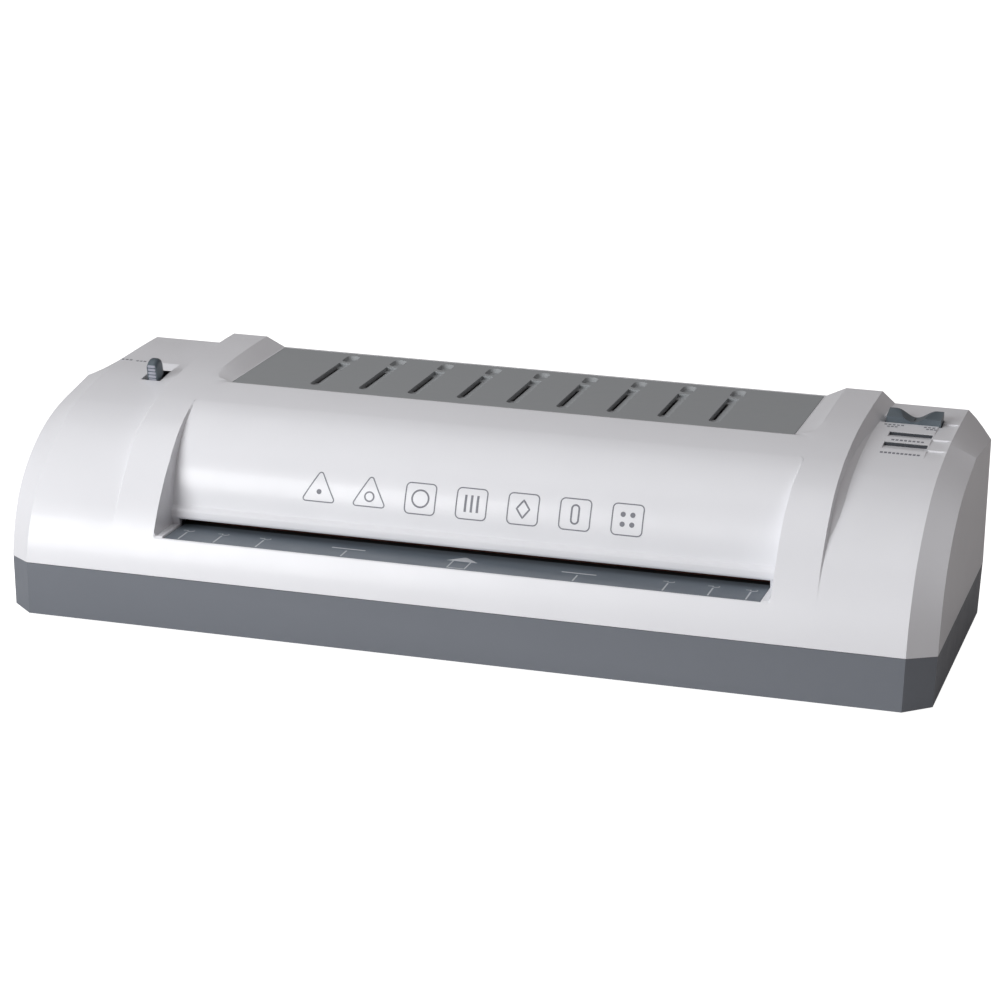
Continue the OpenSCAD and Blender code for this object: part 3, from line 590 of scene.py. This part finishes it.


# the lighter convex edges set below on the dark parts are a painted highlight
SURFACES = {
    "white_shell": surface("white shell", (0.81, 0.815, 0.845), 0.36, 0.008, 0.03, 0.5, 0.004, coat=0.12),
    "slate_shell": surface("slate shell", (0.135, 0.148, 0.172), 0.46, 0.03, 0.05, 0.45, 0.02,
                           edge_highlight=0.12),
    "grey_panel": surface("grey panel", (0.27, 0.285, 0.295), 0.48, 0.03, 0.05, 0.4, 0.02, edge_highlight=0.12),
    "dark_plastic": surface("dark plastic", (0.085, 0.11, 0.13), 0.38, 0.04, 0.05, 0.4, 0.012,
                            edge_highlight=0.15),
    "black_plastic": surface("black plastic", (0.02, 0.021, 0.023), 0.42, 0.08, 0.05, 0.4, 0.012),
    "black_rubber": surface("black rubber", (0.022, 0.022, 0.022), 0.78, 0.12, 0.06, 0.3, 0.03),
    "silicone": surface("silicone", (0.16, 0.07, 0.05), 0.55, 0.05, 0.06, 0.25, 0.008),
    "screw_steel": surface("screw steel", (0.55, 0.55, 0.57), 0.30, 0.06, 0.06, 0.15, 0.006, metal=1.0),
    "frame_steel": surface("frame steel", (0.62, 0.63, 0.65), 0.34, 0.10, 0.08, 0.5, 0.006, metal=1.0,
                           stretch=(1, 1, 0.3)),
    "spring_steel": surface("spring steel", (0.45, 0.45, 0.47), 0.25, 0.05, 0.05, 0.2, 0.004, metal=1.0),
    "roller_core": surface("roller core", (0.75, 0.76, 0.78), 0.28, 0.04, 0.05, 0.12, 0.006, metal=1.0,
                           stretch=(6, 1, 1)),
    "heater_aluminium": surface("heater aluminium", (0.78, 0.78, 0.80), 0.36, 0.05, 0.06, 0.2, 0.006,
                                metal=1.0, stretch=(0.1, 1, 1)),
    "motor_can": surface("motor can", (0.68, 0.68, 0.70), 0.30, 0.05, 0.05, 0.3, 0.005, metal=1.0),
    "gear_brass": surface("gear brass", (0.75, 0.58, 0.28), 0.28, 0.05, 0.05, 0.15, 0.005, metal=1.0),
    "bush_plastic": surface("bush plastic", (0.74, 0.68, 0.48), 0.5, 0.04, 0.05, 0.3, 0.01),
    "gear_plastic": surface("gear plastic", (0.80, 0.78, 0.70), 0.42, 0.03, 0.05, 0.3, 0.008),
    "mica": surface("mica", (0.42, 0.33, 0.18), 0.4, 0.25, 0.12, 1.2, 0.02),
    "ceramic": surface("ceramic", (0.82, 0.81, 0.77), 0.25, 0.03, 0.05, 0.3, 0.01),
    "window_plastic": surface("window plastic", (0.045, 0.05, 0.06), 0.16, 0.05, 0.03, 0.5, 0.002, coat=0.3),
    "circuit_board": surface("circuit board", (0.03, 0.17, 0.07), 0.35, 0.20, 0.08, 1.6, 0.03),
    "lamp_lens": surface("lamp lens", (0.65, 0.06, 0.04), 0.15, 0.03, 0.03, 0.4, 0.002, coat=0.5),
    "wire_cover": surface("wire cover", (0.42, 0.05, 0.04), 0.4, 0.05, 0.05, 0.3, 0.004),
    "blank_label": surface("blank label", (0.72, 0.72, 0.73), 0.35, 0.03, 0.04, 0.3, 0.003),
}
# the tray's lighter convex edges are a painted highlight as well
TRAY_FINISH = surface("tray", (0.125, 0.15, 0.18), 0.40, 0.03, 0.05, 0.45, 0.012, edge_highlight=0.1)
LEVER_GREY = surface("lever face", (0.36, 0.37, 0.43), 0.42, 0.03, 0.05, 0.4, 0.006)
PRINT_GREY = surface("grey print", (0.20, 0.205, 0.235), 0.5, 0.04, 0.05, 0.3, 0.002)
PRINT_PALE = surface("pale print", (0.55, 0.57, 0.60), 0.5, 0.04, 0.05, 0.3, 0.002)


# ---------- top cover ----------

def build_cover():
    """The shell's mesh, the edges round its openings, and its points: all outer ones, then all inner ones."""
    wide, deep = len(columns), len(rows)
    verts = [outer_point(j, x) for j in range(deep) for x in columns]
    verts += [inner_point(j, x) for j in range(deep) for x in columns]
    inner = wide * deep
    faces, rim_edges = [], set()

    def corner(i, j):
        return j * wide + i

    def kept(i, j):
        return 0 <= i < wide - 1 and 0 <= j < deep - 1 and not cell_open(i, j)

    for j in range(deep - 1):
        for i in range(wide - 1):
            if not kept(i, j):
                continue
            loop = (corner(i, j), corner(i + 1, j), corner(i + 1, j + 1), corner(i, j + 1))
            faces.append(loop)
            faces.append(tuple(inner + k for k in reversed(loop)))
            sides = (((i, j - 1), loop[0], loop[1]), ((i + 1, j), loop[1], loop[2]),
                     ((i, j + 1), loop[2], loop[3]), ((i - 1, j), loop[3], loop[0]))
            # a wall joins the two surfaces wherever the cell beside this one is missing
            for beside, p, q in sides:
                at_side = beside[0] in (-1, wide - 1)
                if kept(*beside) or at_side:
                    continue
                faces.append((p, q, inner + q, inner + p))
                rim_edges.add((p, q))
    # each end is closed by one flat face outside, one inside and a strip along the bottom
    for i in (0, wide - 1):
        line = [corner(i, j) for j in range(deep)]
        faces.append(tuple(line))
        faces.append(tuple(inner + k for k in line))
        faces.append((line[0], line[-1], inner + line[-1], inner + line[0]))
    mesh = mesh_from("top_cover_shell", verts, faces)
    bm = bmesh.new()
    bm.from_mesh(mesh)
    bmesh.ops.delete(bm, geom=[v for v in bm.verts if not v.link_faces], context="VERTS")
    bm.to_mesh(mesh)
    bm.free()
    return mesh, rim_edges, verts


def spot(point):
    """Key that finds a point again in the finished mesh."""
    return tuple(round(c, 3) for c in point)


mesh, rim_edges, cover_verts = build_cover()
cover = add_object("cover_shell", mesh, "housing", SURFACES["white_shell"], ("top_cover",))
rim_spots = {frozenset(spot(cover_verts[k]) for k in pair) for pair in rim_edges}
crease_spots = {spot(outer_point(j, side * x)) for j in range(len(rows))
                for x in (RIDGE_OUT, RIDGE_FOOT, CREASE_X, HALF_W) for side in (-1, 1)}
facet_spots = {spot(outer_point(j, x)) for j, row in enumerate(rows) if row.get("fixed") in FACET_ROWS
               for x in columns if abs(x) >= CREASE_X}

# the rims of the openings and the long creases are bevelled; the ends' facets only meet in a sharp edge
CREASE_WEIGHT, RIM_WEIGHT = 1.0, 0.6
edge_spots = [frozenset(spot(mesh.vertices[k].co / MM) for k in edge.vertices) for edge in mesh.edges]
weights = mesh.attributes.new("bevel_weight_edge", "FLOAT", "EDGE")
for edge, ends in zip(mesh.edges, edge_spots):
    if ends in rim_spots:
        weights.data[edge.index].value = RIM_WEIGHT
    elif ends <= crease_spots:
        weights.data[edge.index].value = CREASE_WEIGHT
shade(cover, 0.5, sharp_deg=16, limit="WEIGHT")
for edge, ends in zip(mesh.edges, edge_spots):
    if ends <= facet_spots:
        edge.use_edge_sharp = True


# ---------- vent panel ----------

def carve(name, base, cutters):
    """Base parts minus cutter parts, as one mesh."""
    made = []
    for label, parts in ((name, base), (name + "_cut", cutters)):
        obj = bpy.data.objects.new(label, mesh_from(label, *join_parts(parts)))
        bpy.context.scene.collection.objects.link(obj)
        made.append(obj)
    cut = made[0].modifiers.new("cut", "BOOLEAN")
    cut.solver = "EXACT"
    cut.use_self = True
    cut.object = made[1]
    bpy.context.view_layer.update()
    evaluated = made[0].evaluated_get(bpy.context.evaluated_depsgraph_get())
    mesh = bpy.data.meshes.new_from_object(evaluated)
    for obj in made:
        bpy.data.objects.remove(obj)
    return mesh


def on_plate(u, v, h):
    """Point at u across, v deep and h above the vent panel."""
    return (u, v, vent_top(v) + h)


def tapered(outline, floor, place, depth):
    """Pocket cutter: outline at the surface, a smaller floor outline below it."""
    n = len(outline)
    grow = [(2 * u - p, 2 * v - q) for (u, v), (p, q) in zip(outline, floor)]
    verts = [place(u, v, -depth) for u, v in floor] + [place(u, v, depth) for u, v in grow]
    faces = [tuple(range(n))[::-1], tuple(range(n, 2 * n))]
    return verts, faces + [(i, (i + 1) % n, n + (i + 1) % n, n + i) for i in range(n)]


def rectangle(x0, x1, y0, y1):
    return [(x0, y0), (x1, y0), (x1, y1), (x0, y1)]


VENTS = 9
VENT_PITCH = 27.35
VENT_SHIFT = -0.7
# section of the scoop beside a slot: deep at its left wall, rising to the surface at the right
SCOOP = ((-3.3, 1.0), (-3.3, -2.0), (-1.4, -2.0), (0.6, -1.3), (2.2, -0.5), (3.4, 0.15), (3.4, 1.0))
cutters = []
for k in range(VENTS):
    x = (k - (VENTS - 1) / 2) * VENT_PITCH + VENT_SHIFT
    cutters.append(prism_parts(SCOOP, lambda u, h, v, x=x: on_plate(x + u, v, h), (18, 67)))
    # the scoop's rounded front end, the separate pocket behind it, and the slot along its left wall
    cutters.append(tapered(ring(x - 0.2, 18.2, 3.1, 20), ring(x - 0.2, 18.6, 2.2, 20), on_plate, 1.2))
    pocket, floor_line = rounded(x, 77.6, 3.7, 7.2, 3.5), rounded(x - 0.3, 77.0, 2.7, 5.6, 2.5)
    cutters.append(tapered(pocket, floor_line, on_plate, 1.9))
    cutters.append(prism_parts(rectangle(x - 3.25, x - 1.5, 26, 61.5), on_plate, (-5, 0)))
plate_line = rectangle(vent_low[0], vent_high[0], SEAT_FRONT + 0.2, vent_high[1])
plate = prism_parts(plate_line, on_plate, (vent_low[2] - vent_high[2], 0))
panel = add_object("vent_plate", carve("vent_plate", [plate], cutters), "housing", SURFACES["grey_panel"],
                   ("vent_panel",))
soften(panel, 0.25, 35)


# ---------- feed tray ----------

def on_tray(u, v, h):
    """Point at u across, v deep and h above the tray."""
    return (u, v, TRAY_Z + h)


# the plate with ribs under it, and behind it a black strip that paints the shade inside the slot
tray_front = tray_low[1] - 0.25
TRAY_REAR = -57.5
TRAY_THICK = 2.2
RIB_HALF = 0.8
outline = rounded(0, (tray_front + TRAY_REAR) / 2, TRAY_HALF, (TRAY_REAR - tray_front) / 2, 1.4)
parts = [prism_parts(outline, on_tray, (-TRAY_THICK, 0))]
for x in range(-150, 151, 50):
    parts.append(box_parts((x - RIB_HALF, -84, TRAY_Z - 8), (x + RIB_HALF, TRAY_REAR - 1, TRAY_Z - 2.1)))
tray = add_object("tray_plate", mesh_from("tray_plate", *join_parts(parts)), "housing", TRAY_FINISH,
                  ("feed_tray",))
shade(tray, 0.35)
# painted shade: where the tray runs into the slot it is made a black strip
strip = box_parts((-TRAY_HALF, TRAY_REAR + 0.1, TRAY_Z - TRAY_THICK), (TRAY_HALF, tray_high[1], TRAY_Z - 0.3))
add_object("tray_rear_painted_shade", mesh_from("tray_rear_painted_shade", *strip), "housing", SURFACES["black_plastic"])

# marks at the edges of the paper widths: a plain hook behind the wide ones, a bar behind the narrow one
WIDE_MARKS = (149.2, 130.0, 107.0)
NARROW_MARK = 61
mark_front = tray_front + 1.4
marks = []
for side in (-1, 1):
    for mark in WIDE_MARKS:
        x = side * mark
        marks.append(ribbon([(x, mark_front), (x, -72.5)], 0.8, on_tray))
        marks.append(ribbon(ring(x + 1, -69.4, 1.7, 20, 160, 380, True), 0.6, on_tray))
        marks.append(ribbon([(x - 3, -69.6), (x - 0.4, -69.6)], 0.7, on_tray))
    x = side * NARROW_MARK
    marks.append(ribbon([(x, mark_front), (x, -75.2)], 0.8, on_tray))
    marks.append(ribbon([(x - 9, -72), (x + 9, -72)], 1.1, on_tray))
# an arrow in the middle
shaft = [(-4.6, -73), (-4.6, mark_front + 0.5), (4.6, mark_front + 0.5), (4.6, -73)]
marks.append(ribbon(shaft, 0.7, on_tray))
marks.append(prism_parts([(-8, -73), (8, -73), (0.6, -66), (-0.6, -66)], on_tray, (PRINT_LOW, PRINT_HIGH)))
add_object("tray_marks", mesh_from("tray_marks", *join_parts(marks)), "housing", PRINT_PALE)


# ---------- printed shapes ----------

panel_length = [(0.0, *panel_path[0])]
for p, q in zip(panel_path, panel_path[1:]):
    panel_length.append((panel_length[-1][0] + math.dist(p[:2], q[:2]), *q))


def on_panel(u, v, h):
    """Point on the sunken centre: u across, v along the surface from the foot of the arc, h above it."""
    _, y, z, a = at(panel_length, 0, v)
    return (u, y - h * math.sin(a), z + h * math.cos(a))


ICON_V = 9.9
ICON_PITCH = 27.25
ICON_LINE = 0.62
# a line this wide round a small ring fills it to a dot
DOT_LINE = 1.3


def triangle(cx, cy, half, radius):
    """Outline of an upright triangle with rounded corners."""
    points = []
    for k, (x, y) in enumerate(((0, 1.0), (-1.0, -0.75), (1.0, -0.75))):
        towards = (cx + x * (half - radius * 1.4), cy + y * (half - radius * 1.2))
        start = -30 + 120 * k + 60
        points += ring(towards[0], towards[1], radius, 5, start, start + 120, True)
    return points


def icon(index, cx, cy):
    """Generic shapes: two rounded triangles and five rounded squares, each with a plain figure inside."""
    frame_line = triangle(cx, cy, 8.8, 1.3) if index < 2 else rounded(cx, cy, 8.0, 8.0, 2.4)
    lines = [ribbon(frame_line, ICON_LINE, on_panel, True)]
    if index == 0:
        lines.append(ribbon(ring(cx, cy - 1.6, 0.7, 16), DOT_LINE, on_panel, True))
    if index == 1:
        lines.append(ribbon(ring(cx, cy - 1.6, 2.4, 24), 0.8, on_panel, True))
    if index == 2:
        lines.append(ribbon(ring(cx, cy, 4.4, 32), 0.9, on_panel, True))
    if index == 3:
        for k in (-3.2, 0, 3.2):
            lines.append(ribbon([(cx + k, cy - 4.4), (cx + k, cy + 4.4)], 1.2, on_panel))
    if index == 4:
        diamond = [(cx, cy - 4.6), (cx + 3.4, cy), (cx, cy + 4.6), (cx - 3.4, cy)]
        lines.append(ribbon(diamond, 0.9, on_panel, True))
    if index == 5:
        lines.append(ribbon(rounded(cx, cy, 1.9, 4.8, 1.89), 0.9, on_panel, True))
    if index == 6:
        for sx in (-1, 1):
            for sy in (-1, 1):
                lines.append(ribbon(ring(cx + sx * 2.5, cy + sy * 2.5, 0.7, 14), DOT_LINE, on_panel, True))
    return lines


lines = []
for k in range(7):
    lines += icon(k, -81.5 + ICON_PITCH * k, ICON_V)
add_object("panel_icons", mesh_from("panel_icons", *join_parts(lines)), "housing", PRINT_GREY)


# where the controls carry their printing: centre x, y, length, printed height
END_LABELS = ((197.9, 48.0, 11, 1.5), (197.5, 44.6, 6, 1.5), (216.375, 48.4, 6.75, 1.5),
              (217.8, 45.2, 6, 1.5), (209, 22.6, 17.5, 1.8), (208, 4.2, 21, 1.8),
              (-227.4, 38.4, 7, 1.6), (-218.8, 37.8, 6.5, 1.6))


def on_end(u, v, h):
    """Point at u across, v deep and h above the surface of the ends."""
    y, z, a = at(end_path, 0, v)
    return (u, y - h * math.sin(a), z + h * math.cos(a))


# rows of plain blocks stand in for the printing
BLOCK_PITCH = 2.2
BLOCK_HALF = 0.7
blocks = []
for x, y, length, height in END_LABELS:
    count = round(length / BLOCK_PITCH)
    for k in range(count):
        u = x + (k + 0.5 - count / 2) * length / count
        blocks.append(ribbon([(u - BLOCK_HALF, y), (u + BLOCK_HALF, y)], height, on_end, high=0.09))
add_object("end_marks", mesh_from("end_marks", *join_parts(blocks)), "housing", PRINT_GREY)


# ---------- release lever ----------

lever_joint = next(j for j in frame["record"]["behaviour"]["joints"] if j["name"] == "release_turn")
PIVOT_Y, PIVOT_Z = lever_joint["pos_m"][1] / MM, lever_joint["pos_m"][2] / MM
lever_low, lever_high = node_box("release_lever")
LEVER_X = (lever_low[0] + lever_high[0]) / 2
TILT = math.radians(15)
REACH = (lever_high[2] - PIVOT_Z) / math.cos(TILT) - 6.5
KNOB_HALF = 4.5


def on_lever(x, t, r):
    """Lever coordinates: x across, t towards the front, r out from the pivot."""
    return (LEVER_X + x, PIVOT_Y - t * math.cos(TILT) - r * math.sin(TILT),
            PIVOT_Z - t * math.sin(TILT) + r * math.cos(TILT))


def knob_outline(half, low, top, radius):
    """Outline of the knob: flat at the foot, rounded at the top."""
    right = ring(half - radius, top - radius, radius, 6, 0, 90, True)
    left = ring(-half + radius, top - radius, radius, 6, 90, 180, True)
    return [(-half, low), (half, low)] + right + left


# the knob is lofted through outlines from its front face to its rear: place, height and half width of each
sections = []
for t, top, half in ((1.0, 4.6, 2.75), (0.93, 5.0, 2.95), (0.7, 5.6, 3.0), (0.4, 6.1, 3.0), (0.0, 6.3, 3.0),
                     (-0.4, 5.9, 3.0), (-0.75, 4.9, 2.95), (-0.95, 3.4, 2.8), (-1.0, 2.4, 2.6)):
    sections.append([on_lever(u, t * KNOB_HALF, v) for u, v in knob_outline(half, REACH - 5, REACH + top, 2.3)])
n = len(sections[0])
verts = [p for s in sections for p in s]
faces = [tuple(range(n)), tuple(range(len(verts) - n, len(verts)))[::-1]]
for k in range(len(sections) - 1):
    faces += [(k * n + i, k * n + (i + 1) % n, (k + 1) * n + (i + 1) % n, (k + 1) * n + i) for i in range(n)]
parts = [(verts, faces)]
arm = [(-4, 0), (4, 0), (4, REACH - 4), (-4, REACH - 4)]
parts.append(prism_parts(arm, lambda u, v, h: on_lever(h, u, v), (-2, 2)))
parts.append(prism_parts(ring(0, 0, 8, 40), lambda u, v, h: on_lever(h, u, v), (-3, 3)))
lever = add_object("lever", mesh_from("lever", *join_parts(parts)), "release", SURFACES["dark_plastic"],
                   ("release_lever",))
shade(lever, 0.15, sharp_deg=35, angle=40)

# five pale grip bars on the knob's front face
parts = []
for k in range(5):
    bar = rounded(0, REACH - 4.2 + 2.0 * k, 2.2, 0.72, 0.6, 3)
    parts.append(prism_parts(bar, lambda u, v, h: on_lever(u, h, v), (KNOB_HALF - 0.4, KNOB_HALF + 0.33)))
face = add_object("lever_face", mesh_from("lever_face", *join_parts(parts)), "release", LEVER_GREY)
shade(face, 0.12, sharp_deg=35, angle=40)


# ---------- mark on the rocker ----------

rocker_low, rocker_high = node_box("mode_rocker")
ROCKER_X = (rocker_low[0] + rocker_high[0]) / 2
DIP_Z = 112.7
HUMP_X = 10.7
HALF_WAVE = 2.15


def on_rocker(u, v, h):
    """Point on the rocker's wavy top, which dips in the middle."""
    return (u, v, DIP_Z + h + HALF_WAVE * (1 - math.cos(math.pi * min(1, abs(u - ROCKER_X) / HUMP_X))))


tick = ribbon([(ROCKER_X, rocker_low[1] + 4), (ROCKER_X, rocker_low[1] + 9)], 0.8, on_rocker)
add_object("rocker_mark", mesh_from("rocker_mark", *tick), "rocker", SURFACES["black_plastic"])

# ---------- materials and soft edges of the parts carried over from the frame ----------

EDGE_SOFTNESS = {"base_tray": 0.4, "mode_rocker": 0.55, "exit_guide": 0.3, "power_inlet": 0.3,
                 "rubber_feet": 0.5, "ready_window": 0.15, "power_window": 0.15, "rating_plate": 0.1,
                 "housing_screws": 0.2, "rocker_housing": 0.25, "lower_heater_plate": 0.3,
                 "upper_heater_plate": 0.3, "drive_motor": 0.3}
slots = {part["node"]: part["material_slot"] for part in frame["record"]["subparts"]}
for name, obj in nodes.items():
    obj.data.materials.clear()
    obj.data.materials.append(SURFACES[slots[name]])
    if name in EDGE_SOFTNESS:
        shade(obj, EDGE_SOFTNESS[name], dissolve=True)


# ---------- floor, light and camera ----------

def floor_material():
    """Pale floor that the camera sees as plain white."""
    mat, tree, shader = node_tree("floor")
    shader.inputs["Base Color"].default_value = (0.6, 0.59, 0.585, 1)
    shader.inputs["Roughness"].default_value = 0.6
    shader.inputs["Emission Color"].default_value = (1, 1, 1, 1)
    seen = tree.nodes.new("ShaderNodeLightPath")
    glow = tree.nodes.new("ShaderNodeMapRange")
    glow.inputs["To Min"].default_value = 0.04
    glow.inputs["To Max"].default_value = 1.0
    tree.links.new(seen.outputs["Is Camera Ray"], glow.inputs["Value"])
    tree.links.new(glow.outputs["Result"], shader.inputs["Emission Strength"])
    return mat


FLOOR = 12.0
FLOOR_DROP = 0.0002
floor_mesh = bpy.data.meshes.new("floor")
corners = [(-FLOOR, -FLOOR, 0), (FLOOR, -FLOOR, 0), (FLOOR, FLOOR, 0), (-FLOOR, FLOOR, 0)]
floor_mesh.from_pydata(corners, [], [(0, 1, 2, 3)])
floor = bpy.data.objects.new("floor", floor_mesh)
floor.location.z = -FLOOR_DROP
floor_mesh.materials.append(floor_material())
bpy.context.scene.collection.objects.link(floor)

# the world lights the object softly, and the camera sees it as plain white
world = bpy.data.worlds.new("studio")
bpy.context.scene.world = world
world.use_nodes = True
tree = world.node_tree
background = tree.nodes["Background"]
background.inputs["Strength"].default_value = 0.21
background.inputs["Color"].default_value = (1.0, 0.94, 0.93, 1)
white = tree.nodes.new("ShaderNodeBackground")
white.inputs["Color"].default_value = (1, 1, 1, 1)
path = tree.nodes.new("ShaderNodeLightPath")
mixer = tree.nodes.new("ShaderNodeMixShader")
tree.links.new(path.outputs["Is Camera Ray"], mixer.inputs["Fac"])
tree.links.new(background.outputs["Background"], mixer.inputs[1])
tree.links.new(white.outputs["Background"], mixer.inputs[2])
tree.links.new(mixer.outputs["Shader"], tree.nodes["World Output"].inputs["Surface"])


MIDDLE = Vector((0, 0, 0.06))


def area_light(name, place, size, power):
    """Soft rectangular light in metres and watts, aimed at the middle of the object."""
    data = bpy.data.lights.new(name, "AREA")
    data.shape = "RECTANGLE"
    data.size, data.size_y = size
    data.energy = power
    data.color = (0.98, 0.99, 1.0)
    obj = bpy.data.objects.new(name, data)
    obj.location = place
    obj.rotation_mode = "QUATERNION"
    obj.rotation_quaternion = (MIDDLE - Vector(place)).to_track_quat("-Z", "Y")
    bpy.context.scene.collection.objects.link(obj)


area_light("key", (-1.25, -2.0, 0.85), (1.4, 1.0), 41)
area_light("top", (-0.7, -0.2, 2.1), (2.0, 1.6), 12)

# the camera stands in front, a little to the right and above; its place is given along its own axes
AZIMUTH, ELEVATION, ROLL = math.radians(15.4), math.radians(15.69), math.radians(1.5)
ASIDE, ABOVE, AWAY = 0.6, 61.1, 1715.9
right = Vector((math.cos(AZIMUTH), math.sin(AZIMUTH), 0))
towards = Vector((math.sin(AZIMUTH), -math.cos(AZIMUTH), 0))
back = towards * math.cos(ELEVATION) + Vector((0, 0, math.sin(ELEVATION)))
up = back.cross(right)
right, up = (right * math.cos(ROLL) + up * math.sin(ROLL), up * math.cos(ROLL) - right * math.sin(ROLL))
camera_data = bpy.data.cameras.new("camera")
camera_data.sensor_width = 36
camera_data.lens = 115.9
camera = bpy.data.objects.new("camera", camera_data)
place = (right * ASIDE + up * ABOVE + back * AWAY) * MM
turned = Matrix((right, up, back)).transposed()
camera.matrix_world = Matrix.Translation(place) @ turned.to_4x4()
bpy.context.scene.collection.objects.link(camera)
bpy.context.scene.camera = camera
bpy.context.scene.view_settings.view_transform = "Standard"
